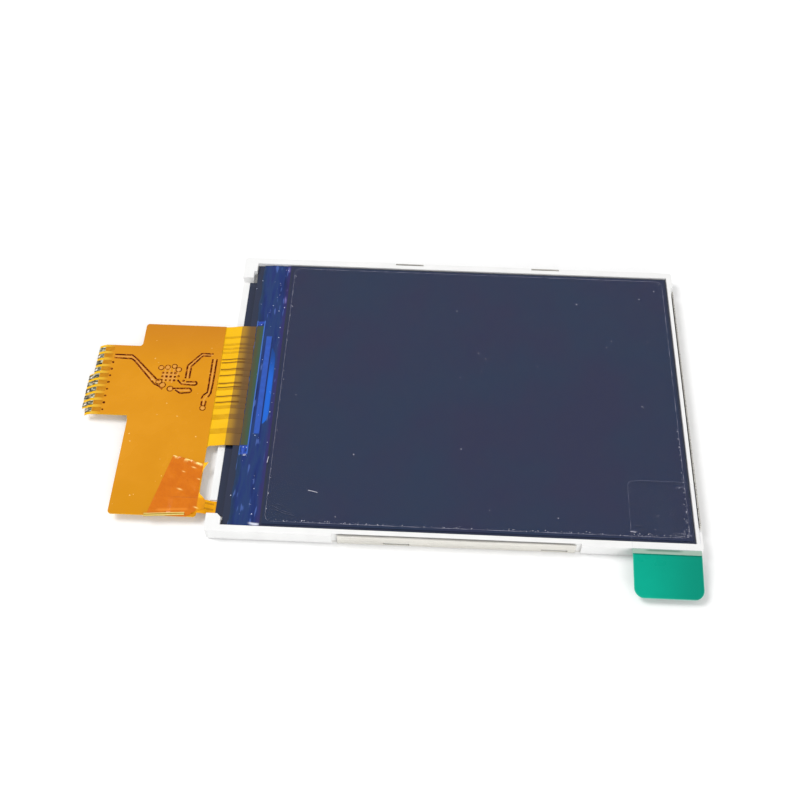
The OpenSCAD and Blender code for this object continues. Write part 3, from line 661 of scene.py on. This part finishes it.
# rolled copper seen through amber film: a shade darker than the film, darker over the ledge
copper = finish("copper_under_polyimide", ("cf990a", "dba60e"), 1.0,
                tints=[(("X", *rise), "8c662a"), (("X", *ledge), "6c5030")],
                gloss=(0.2, 0.3), mirror=dim)
# tin plating worn on the pads: grey smears over grey-silver, drawn out along each finger
tin = finish("worn_tin_plating", [(0.36, "38352c"), (0.5, "6f6b58"), (0.66, "d6d2b4")], 0.32,
             (0.6, 1.6, 1), gloss=(0.22, 0.5), relief=0.008, Metallic=0.6)
# polyimide strip of the backlight: clear warm yellow over white
strip_film = finish("polyimide_led_strip", ("f0a208", "fab612"), 1.5, gloss=(0.15, 0.3),
                    mirror=dim)
flex = {"flex_base": base_film, "flex_copper": copper, "solder_fingers": tin,
        "led_strip": strip_film}
for node, material in flex.items():
    cover(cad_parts[node], material)
print("flex layers finished:", len(flex))

# %% [markdown]
# The coverlay is copied with broken edges. Its own tint runs along the module's width, and it
# clears to yellow before the fingers. Its cut edges show the paler film.

# %% Coverlay
# amber coverlay: an opaque satin orange
coverlay = finish("amber_coverlay", ("d28a0e", "d8900e"), 4.0,
                  tints=[(("Y", 2.0, 10.0), "c67d16"), (("Y", -12.0, -18.0), "d08a06"),
                         (("X", -42.1, -43.3), "e0b030")],
                  gloss=(0.18, 0.32), relief=0.01, IOR=1.6, mirror=dim)
upward = 0.98  # faces that look up at least this much are not cut edges
sheet = cover(broken_edges("flex_coverlay", 0.012, "amber_coverlay_sheet"), coverlay, base_film)
for face in sheet.data.polygons:
    if abs(face.normal.z) < upward:
        face.material_index = 1
print("coverlay faces:", len(sheet.data.polygons))

# %% [markdown]
# ## Etched gaps that follow their lines
# Where copper is etched away, the coverlay sinks into the gap: a dark channel between two low
# banks. A tree sweeps both profiles along every line of a wire mesh and rounds its corners, so
# that turning points are enough. The same tree lays tracks and scratches. A line on a bent film
# finds its height by a plumb line dropped on that solid.

# %% The etching tree


def plumb(node, px, py):
    """Height of a solid's upper face over a place, all in millimetres."""
    hit, place, _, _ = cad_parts[node].ray_cast(Vector((px, py, 5)) * mm, (0, 0, -1))
    return place.z / mm if hit else 0.0


def etching_tree(name, bank, groove):
    """A tree that sweeps a wide low bank and a narrow higher groove along lines."""
    tree, given = open_tree(name, "Lines", ("Width", "Bank", "Height", "Turn"))
    curve = put(tree, "GeometryNodeMeshToCurve", {0: given["Lines"]})
    soft = put(tree, "GeometryNodeFilletCurve",
               {"Curve": curve, "Radius": given["Turn"], "Limit Radius": True, "Count": 4},
               mode="POLY")
    level = put(tree, "GeometryNodeSetCurveNormal", {0: soft}, mode="Z_UP")
    parts = []
    for wide, tall, material in (("Bank", 0.55, bank), ("Width", 1.0, groove)):
        ring = put(tree, "GeometryNodeCurvePrimitiveCircle", {0: 12, 4: 1.0})
        half = put(tree, "ShaderNodeMath", {0: given[wide], 1: 0.5}, operation="MULTIPLY")
        rise = put(tree, "ShaderNodeMath", {0: given["Height"], 1: tall}, operation="MULTIPLY")
        size = put(tree, "ShaderNodeCombineXYZ", {0: half, 1: rise, 2: 1.0})
        profile = put(tree, "GeometryNodeTransform", {0: ring, "Scale": size})
        swept = put(tree, "GeometryNodeCurveToMesh", {0: level, 1: profile, 2: True})
        real = put(tree, "GeometryNodeRealizeInstances", {0: swept})
        parts.append(put(tree, "GeometryNodeSetMaterial",
                         {"Geometry": real, "Material": material}))
    whole = put(tree, "GeometryNodeJoinGeometry")
    for part in parts:
        tree.links.new(part.outputs[0], whole.inputs[0])
    put(tree, "NodeGroupOutput", {0: whole})
    return tree


def lay(name, node, lines, bank, groove=None, **sizes):
    """Sweeps lines of points in mm, and lays them on a node."""
    points, edges = [], []
    for line in lines:
        edges += [(len(points) + i, len(points) + i + 1) for i in range(len(line) - 1)]
        points += line
    tree = etching_tree(name + "_tree", bank, groove or bank)
    grow(name, node, tree, points, edges, **sizes)


cover_top = span("flex_coverlay")[1].z
print("lines lie at", round(cover_top, 3), "mm")

# %% [markdown]
# The gaps show dark between the orange banks. A trace that runs between two gaps stands a little
# proud and is painted paler, a highlight on its face. Each is listed by its turning points in
# millimetres.

# %% Gaps and the traces between them
hair = 0.002  # mm by which a line sinks into its film, or stands clear of it
# shadow in a channel: dark red-brown, broken where the film bridges it
gap_dark = finish("etched_gap_shadow", [(0.42, "4a1000"), (0.54, "6a2200"), (0.62, "b4681a")],
                  0.22, Roughness=0.5, mirror=0.05)
# covered trace standing proud: pinker than the coverlay round it, and paler by a painted highlight
trace_and_highlight = finish("raised_copper_trace_and_highlight", ("d79034", "df9c46"), 0.4, Roughness=0.3, mirror=dim)
gaps = [
    [(-42.05, 4.14), (-39.9, 4.14), (-39.25, 3.6), (-36.3, 0.6), (-35.95, 0.42)],
    [(-42.05, 3.66), (-39.9, 3.58), (-39.5, 3.3), (-36.55, -0.05), (-35.95, -0.35), (-35.45, -0.8)],
    [(-33.67, 0.52), (-33.2, 0.04), (-31.55, -0.03), (-31.3, 0.2), (-31.5, 0.5), (-32.7, 0.42)],
    [(-34.25, -0.63), (-32.1, -0.52), (-31.85, -0.82), (-32.0, -1.12), (-33.2, -1.3),
     (-33.85, -0.8)],
    [(-32.87, 0.93), (-32.87, 2.85), (-31.4, 4.76), (-29.95, 4.78)],
    [(-32.4, 0.95), (-32.4, 2.75), (-31.2, 4.42), (-30.2, 4.42)],
    [(-29.92, 3.98), (-29.9, -1.0), (-30.42, -1.5), (-30.5, -2.0)],
    [(-29.4, 4.0), (-29.42, 0.2), (-29.5, -1.15), (-29.75, -1.7)],
    [(-30.42, -2.28), (-30.4, -2.95)], [(-29.93, -2.26), (-29.94, -2.95)]]
traces = [
    [(-42.05, 3.90), (-39.75, 3.86), (-39.38, 3.45), (-36.42, 0.28), (-36.0, 0.15)],
    [(-35.9, -0.35), (-35.45, -0.2), (-35.46, 2.3)],
    [(-34.95, 0.3), (-34.95, 2.4)], [(-34.44, 0.2), (-34.44, 2.3)],
    [(-35.8, 1.38), (-34.0, 1.38), (-33.8, 1.9)],
    [(-35.8, 0.84), (-33.9, 0.84)],
    [(-32.63, 0.95), (-32.63, 2.8), (-31.3, 4.59), (-29.95, 4.6)],
    [(-29.66, 4.0), (-29.66, -0.4), (-29.85, -1.35), (-30.2, -2.1), (-30.18, -2.95)],
    [(-33.3, 0.28), (-31.6, 0.22)], [(-33.9, -0.75), (-33.3, -0.9), (-32.1, -0.82)]]
lay("etched_gaps", "flex_coverlay", [at(cover_top - hair, line) for line in gaps], coverlay,
    gap_dark, Width=0.25, Bank=0.42, Height=0.012, Turn=0.22)
lay("raised_traces", "flex_coverlay", [at(cover_top, line) for line in traces], trace_and_highlight,
    Width=0.15, Bank=0.20, Height=0.009, Turn=0.2)

# %% [markdown]
# Three more sets of lines are straight: the tracks on the bent neck, the ten covered strips from
# the coverlay's end towards the fingers, and the two tracks of the backlight's tail.

# %% Tracks and covered strips
# copper edge seen through clear film: a dark brown line
track_dark = finish("etched_track_edge", ("4e2c04", "6e4208"), 0.6, Roughness=0.4, mirror=0.1)
# covered copper strip: the coverlay's orange between paler film
strip_orange = finish("covered_copper_strip", ("b8740c", "c88612"), 0.5, (0.5, 1, 1),
                      gloss=(0.2, 0.3), mirror=dim)
neck_runs, tail_runs = np.linspace(-28.75, -25.9, 12), np.linspace(-28.4, -27.1, 8)
neck_rows, tail_rows = (3.98, 3.52, 2.47, 1.57, 0.38, -0.21, -1.53, -2.40), (-16.15, -16.85)
pitch = 1.0  # of the fingers
finger_rows = [4.95 - pitch * i for i in range(10)]
lay("neck_tracks", "flex_base",
    [[(a, b, max(plumb("flex_base", a, b), plumb("flex_copper", a, b)) + hair)
      for a in neck_runs] for b in neck_rows],
    track_dark, Width=0.08, Bank=0.10, Height=0.005, Turn=0.0)
lay("covered_strips", "flex_coverlay",
    [at(cover_top, [(-42.28, b), (-43.36, b)]) for b in finger_rows],
    strip_orange, Width=0.50, Bank=0.62, Height=0.006, Turn=0.0)
lay("tail_tracks", "led_strip",
    [[(a, b, plumb("led_strip", a, b) + hair) for a in tail_runs] for b in tail_rows],
    coverlay, Width=0.16, Bank=0.24, Height=0.006, Turn=0.0)

# %% [markdown]
# ## Plated holes and dots
# Small plated holes show through the coverlay as a pale land in a dark ring, and a field of
# twelve dots stands where they are closest. Eight more end the covered strips. All of them come
# from the stamping tree, and so do the specks that catch the light.

# %% Lands, rings, dots and specks
holes = [(-36.05, 2.4), (-35.25, 2.5), (-34.45, 2.68), (-33.87, 2.2), (-30.18, -3.3),
         (-36.02, 0.31), (-35.5, -0.18), (-34.49, -0.68)]
alike = {"Least": 0.9, "Most": 1.1, "Seed": 1}
stamp("via_lands", "flex_coverlay", trace_and_highlight, at(cover_top - 2 * hair, holes), Radius=0.27,
      Flatness=0.05, **alike)
stamp("via_rings", "flex_coverlay", gap_dark, at(cover_top + hair, holes), ring=True,
      Radius=0.34, Flatness=0.12, **alike)
dots = [(-35.72 + 0.51 * i, 1.65 - 0.54 * k) for i in range(4) for k in range(3)]
dots += [(-33.75, 1.2), (-33.7, 0.58), (-33.05, 0.57)] + [(-42.1, b) for b in finger_rows[2:]]
stamp("etched_dots", "flex_coverlay", gap_dark, at(cover_top, dots), Radius=0.16,
      Flatness=0.12, Least=0.8, Most=1.15, Seed=7)
# speck pressed into the coverlay, painted as a bright orange glint
speck_and_glint = finish("coverlay_speck_painted_glint", ("ecac40", "f6ca74"), 0.1, Roughness=0.3)
random.seed(21)
specks = [(-33.58, -12.89), (-38.51, -16.79)]
specks += [(random.uniform(-38.3, -30), random.uniform(-16.5, 8.3)) for _ in range(22)]
stamp("coverlay_specks", "flex_coverlay", speck_and_glint, at(cover_top, specks), Radius=0.075,
      Flatness=0.16, Least=0.4, Most=1.3, Seed=9)

# %% [markdown]
# ## Tape over the soldered joint
# A square of amber polyimide tape is pressed over the backlight's soldered tail and folded round
# the circuit's front edge. Doubled on the coverlay it reads as deep orange; past the edge it is
# clear yellow. It lies in small creases, tented over the tail, and its cut rear edge lifts.

# %% Creased tape
tape_low, tape_high = span("joint_tape")
tail_low, tail_high = -17.5, -15.75  # the tail under the tape, along Y
film = 0.02  # thickness of the tape
s = np.linspace(0, 1, 130)[:, None]  # 0 at the rear edge, 1 at the front
u = np.linspace(0, 1, 100)[None, :]  # 0 on the left, 1 on the right
front = tape_low.y + 0.02
left = -32.62 - 1.9 * s
right = np.interp(s, [0, 0.13, 0.31, 0.51, 0.60, 0.66, 0.71, 0.86, 0.92, 1],
                  [-28.4, -28.8, -29.05, -29.05, -28.75, -28.3, -28.05, -28.1, -29.2, -30.0])
right = right + 0.05 * ripple(s * 8, 0 * s, 0.6, 3.0)
x = left + (right - left) * u
rear = np.interp(u, [0, 0.5, 0.8, 1], [-10.05, -10.6, -11.05, -10.85]) + 0.05 * ripple(
    u * 5, 0 * u, 0.5, 1.0)
y = rear + (front - rear) * s + 0 * u
tent = band(x, -32.0, -27.9, 0.35) * band(y, tail_low - 0.12, tail_high + 0.14, 0.12)
lip = hump(s, 0, 0.035) + 0 * u
crease = ripple(x, y, 0.8, 5.0) + 0.5 * ripple(x, y, 0.3, 8.0)
tail_x = np.linspace(-28.8, -27.8, 11)
tail_top = np.interp(x, tail_x, [plumb("led_strip", a, -16.6) for a in tail_x]) + 0.03
past = ease(-29.0, -28.88, x)
level = (cover_top + 0.025 + 0.115 * tent + 0.06 * lip * np.abs(crease)
         + 0.020 * np.abs(crease) + 0.05 * np.clip(ripple(x, y, 0.55, 12.0) - 0.35, 0, 1))
level = level + past * (tail_top + 0.02 * np.abs(crease) - level)
# places where a crease stands up and shines: painted glints
glints = [(-32.4, -10.13, 0.22), (-30.56, -10.62, 0.20), (-29.5, -11.1, 0.26),
          (-30.0, -11.6, 0.14), (-29.18, -13.13, 0.12), (-31.2, -14.54, 0.16),
          (-31.1, -12.2, 0.1), (-29.0, -16.9, 0.14)]
shine = sum(hump(x, a, 1.6 * r) * hump(y + 0.3 * (x - a), b, 0.5 * r) for a, b, r in glints)
# painted highlight: a paler line along a pleat near the front
pleat = hump(y - 0.05 * (x + 32), -17.25, 0.16) * band(x, -33.4, -29.9, 0.3)
tape_top = np.stack([x, y, np.minimum(level, tape_high.z + 0.05)], -1)
# deep orange where doubled on the coverlay, yellow past its edge; painted highlights on the
# creases, along a pleat and where the edge lifts
tape_film = finish("polyimide_tape", [(0.35, "cd6a07"), (0.65, "d67408")], 1.2,
                   tints=[("pleat", "e88a28"), ("past", "fabc10"), ("shine", "ffdc86")],
                   relief=0.03, gloss=(0.10, 0.22), IOR=1.6, mirror=0.2)
tape_marks = {"past": past * (1 - 0.6 * tent), "pleat": 0.8 * pleat,
              "shine": np.clip(shine + 0.9 * lip * ease(0.0, 0.35, crease), 0, 1)}
sheet_piece("creased_tape", "joint_tape", tape_top, tape_top - [0, 0, film], tape_marks, tape_film)
print("tape spans, in mm:", round(float(right.max() - left.min()), 2))

# %% [markdown]
# The folded flap lies along the circuit's front edge, a little askew, and wraps it. Its two
# ridges carry painted highlights, pale as brass, between olive hollows.

# %% Folded edge
f = np.linspace(0, 1, 22)[:, None]
runs = np.linspace(-34.75, -30.2, 60)[None, :]
askew = -17.85 + 0.076 * (runs + 34.75)
ridge = hump(f, 0.14, 0.10) + hump(f, 0.82, 0.11) + 0 * runs
flap_y = askew - 0.36 * f
flap_z = cover_top + 0.12 + 0.035 * ridge - 0.12 * ease(0.9, 1.0, f)
flap_top = np.stack([runs + 0 * f, flap_y, flap_z], -1)
# folded film: olive brown, with painted highlights pale as brass along its ridges
fold_film = finish("folded_polyimide_edge", ("a07c1e", "b8922c"), 0.8, (0.4, 1, 1),
                   tints=[("ridge", "fdeb96")], relief=0.01, gloss=(0.1, 0.2), mirror=0.3)
sheet_piece("folded_tape_edge", "joint_tape", flap_top, flap_top - [0, 0, film],
            {"ridge": np.clip(ridge, 0, 1)}, fold_film, False)
print("flap width, in mm:", round(float(np.ptp(flap_y[:, 0])), 2))

# %% [markdown]
# ## Clear screen film
# The film on the screen is soft clear polyethylene with round corners. It is almost invisible:
# what shows is a painted highlight along its cut rim, and whatever has scratched or settled on it.
# A sheet built in rows carries a rim mark for that.

# %% Rows with rounded corners


def rounded_rows(x0, x1, y0, y1, radius, corners, rim):
    """Rows of points over a box with some corners rounded, and how close each is to its rim.
    corners names the rounded ends, front or rear."""
    border = np.array([0, rim / 2, rim])
    turn = radius * (1 - np.cos(np.linspace(0, math.pi / 2, 9)))
    front = y0 + (turn if "front" in corners else border)
    rear = y1 - (turn if "rear" in corners else border)
    rows = np.concatenate([front, y0 + border, np.linspace(front.max(), rear.min(), 90),
                           y1 - border, rear])
    inset = np.concatenate([border, np.linspace(radius * 0.3, (x1 - x0) / 2, 30)])
    grid, mark = [], []
    for v in np.unique(np.round(rows, 6)):
        reach = max(0.0, radius - (v - y0) if "front" in corners else 0,
                    radius - (y1 - v) if "rear" in corners else 0)
        shrink = radius - math.sqrt(max(radius ** 2 - reach ** 2, 0))
        a, b = x0 + shrink, x1 - shrink
        steps = inset * (b - a) / (x1 - x0)
        columns = np.concatenate([a + steps, (b - steps)[::-1][1:]])
        depth = np.minimum(np.minimum(columns - a, b - columns), min(v - y0, y1 - v))
        grid.append([(c, v) for c in columns])
        mark.append(1 - np.clip(depth / rim, 0, 1))
    return np.array(grid), np.array(mark)


corner, cut = 0.8, 0.06  # radius of a film's corners, and how wide its cut edge catches light
low, high = span("protective_film")
plan, rim = rounded_rows(low.x, high.x, low.y, high.y, corner, ("front", "rear"), cut)
wave = np.clip(0.6 + 0.9 * ripple(plan[..., 0], plan[..., 1], 0.7, 3.0), 0.25, 1)
film_top = np.dstack([plan, np.full(plan.shape[:2], high.z - 0.002)])
# clear film: unseen but for a painted highlight on its cut edge
clear_film = finish("clear_polyethylene_film", ("a4a6c2", "bcbdd4"), 1.0,
                    clear=("rim", 0.003, 0.8), Roughness=0.2, IOR=1.5)
sheet_piece("screen_film", "protective_film", film_top, low.z + 0.003, {"rim": rim * wave},
            clear_film)

# %% [markdown]
# ## Pull tape and green grip
# A strip of clear tape holds the grip to the film. It has round rear corners, edges painted pale as
# a highlight, and a grey smudge of glue where it laps over the grip. The grip is teal polyester,
# thin enough to let light through; its cut edges are painted paler than its face for that light.

# %% Clear strip
low, high = span("pull_tape")
plan, rim = rounded_rows(low.x, high.x, low.y, high.y, corner, ("rear",), cut)
px, py = plan[..., 0], plan[..., 1]
frame_edge = span("frame")[0].y
wave = np.clip(0.45 + 0.8 * ripple(px, py, 0.8, 6.0), 0.1, 1) * (1 - 0.7 * ease(-19.1, -19.4, py))
# air under the lap whitens it, and glue has run out in its middle
lap_white = ease(frame_edge + 0.02, frame_edge - 0.04, py)
smudge = band(px, 21.3, 25.1, 0.5) * hump(py, -20.22, 0.13)
scuffs = [(20.0, -18.0, 0.30), (25.65, -12.13, 0.35), (24.35, -15.72, 0.22),
          (20.53, -17.19, 0.12), (25.37, -17.57, 0.12), (22.9, -15.9, 0.14), (26.2, -18.3, 0.3)]
scuff = sum(hump(px, a, r) * hump(py - 0.3 * (px - a), b, 0.3 * r) for a, b, r in scuffs)
scuff = scuff * ease(-0.1, 0.25, ripple(px, py, 0.22, 2.0))
strip_top = np.dstack([plan, np.full(plan.shape[:2], high.z)])
# clear tape: unseen, but whitish at its scuffs, with a painted highlight at its edges, and greenish
# over the grip
clear_tape = finish("clear_adhesive_tape", ("9a9cbc", "b0b2cc"), 1.5,
                    tints=[("lap", "b4cabb"), ("smudge", "6f8c7c")],
                    clear=("veil", 0.003, 0.75), Roughness=0.22)
veil = np.clip(0.8 * rim * wave + 0.95 * lap_white + 0.9 * scuff, 0, 1)
sheet_piece("clear_pull_strip", "pull_tape", strip_top, low.z + 0.001,
            {"veil": veil, "lap": lap_white, "smudge": smudge}, clear_tape)

# %% [markdown]
# The grip leaves the strip level, bends down a little over the frame's edge and hangs straight.
# Its rows are laid out flat and then bent, so that its length stays right.

# %% Green grip
low, high = span("pull_grip")
lap, hang, bend_r, thick = 0.55, math.radians(11), 3.0, 0.058
grip_corner, grip_cut = 1.1, 0.09
reach = lap + bend_r * hang + (high.y - low.y - lap - bend_r * math.sin(hang)) / math.cos(hang)
plan, rim = rounded_rows(low.x, high.x, -reach, 0.0, grip_corner, ("front",), grip_cut)
run = -plan[..., 1]
around = np.clip((run - lap) / bend_r, 0, hang)
rest = np.maximum(run - lap - bend_r * hang, 0)
gy = high.y - np.minimum(run, lap) - bend_r * np.sin(around) - rest * math.cos(hang)
gz = high.z - bend_r * (1 - np.cos(around)) - rest * math.sin(hang)
grip_top = np.dstack([plan[..., 0], gy, gz])
normal = np.dstack([0 * gy, -np.sin(around), np.cos(around)])
# dyed polyester: a satin teal with painted shade darker towards the right and a painted glow on its
# cut edges
grip_film = finish("teal_polyester", ("009c82", "00a68b"), 5.0,
                   tints=[(("X", 20.0, 27.5), "008871"), ("seam", "005f4e"), ("rim", "7fe6cc")],
                   gloss=(0.25, 0.38), relief=0.006, IOR=1.57, mirror=0.1)
# painted shade: dark lines just past the clear strip's end and along the right edge
seam = 0.8 * hump(gy, -20.72, 0.06) + 0.5 * hump(plan[..., 0], high.x - 0.04, 0.04)
sheet_piece("green_grip", "pull_grip", grip_top, grip_top - thick * normal,
            {"rim": 0.5 * rim, "seam": seam}, grip_film)
print("grip reach in mm:", round(reach, 2))

# %% [markdown]
# ## Dust and scratches
# A handled screen film carries dust and short scratches. Dust is strewn by the stamping tree: a
# little everywhere, more along the edges, most of it at the front and in the corner by the grip.
# A deep scratch is a bright line, a shallow one only dulls the film.

# %% Dust on the film
# lint and grit: small pale grey grains
dust_skin = finish("pale_dust", ("a9a9bd", "d8d8e4"), 0.1, Roughness=0.6)
film_z = span("protective_film")[1].z
strewing, drift = random.uniform, random.gauss
random.seed(11)
fallen = [(23.18, 15.5), (13.71, 13.47), (15.16, 14.27), (19.63, 17.09), (19.24, 8.58),
          (23.71, 8.65), (21.54, 3.90), (22.27, -1.07), (-16.85, -18.31), (-16.6, -18.33)]
fallen += [(strewing(-20.5, 26.0), strewing(-18.2, 18.2)) for _ in range(20)]
gathered = [(strewing(-20.3, 26.0), -18.5 + abs(drift(0, 0.12))) for _ in range(130)]
gathered += [(-21.0 + abs(drift(0, 0.1)), strewing(-18, 18)) for _ in range(26)]
gathered += [(26.25 - abs(drift(0, 0.12)), strewing(-18, -4)) for _ in range(50)]
gathered += [(26.2 - abs(drift(0, 0.9)), -18.4 + abs(drift(0, 0.4))) for _ in range(34)]
gathered += [(strewing(20.0, 24.5), -18.4 + abs(drift(0, 0.3))) for _ in range(9)]
stamp("settled_dust", "protective_film", dust_skin, at(film_z, fallen), Radius=0.055,
      Flatness=0.4, Least=0.4, Most=1.3, Seed=4)
stamp("gathered_dust", "protective_film", dust_skin, at(film_z, gathered), Radius=0.03,
      Flatness=0.4, Least=0.4, Most=1.5, Seed=8)

# %% Scratches in the film
# a fine scratch: a dull grey-blue hairline
hairline = finish("hairline_scratch", [(0.4, "30344e"), (0.65, "6c6e88")], 0.3, Roughness=0.4)
bright = [[(-16.51, -14.39), (-15.95, -14.5), (-15.41, -14.64)], [(19.7, -17.95), (20.3, -18.05)],
          [(-21.45, -10.15), (-21.5, -10.5), (-21.55, -10.97)]]
faint = [[(-20.37, -16.56), (-19.3, -17.1), (-18.14, -17.47)],
         [(-20.1, -17.0), (-19.0, -17.45), (-17.7, -17.75)], [(-19.9, -16.3), (-19.2, -16.5)]]
for name, lines, wide, skin in (("bright_scratches", bright, 0.07, dust_skin),
                                ("faint_scratches", faint, 0.03, hairline)):
    lay(name, "protective_film", [at(film_z, line) for line in lines], skin,
        Width=wide, Bank=wide, Height=0.005, Turn=0.3)
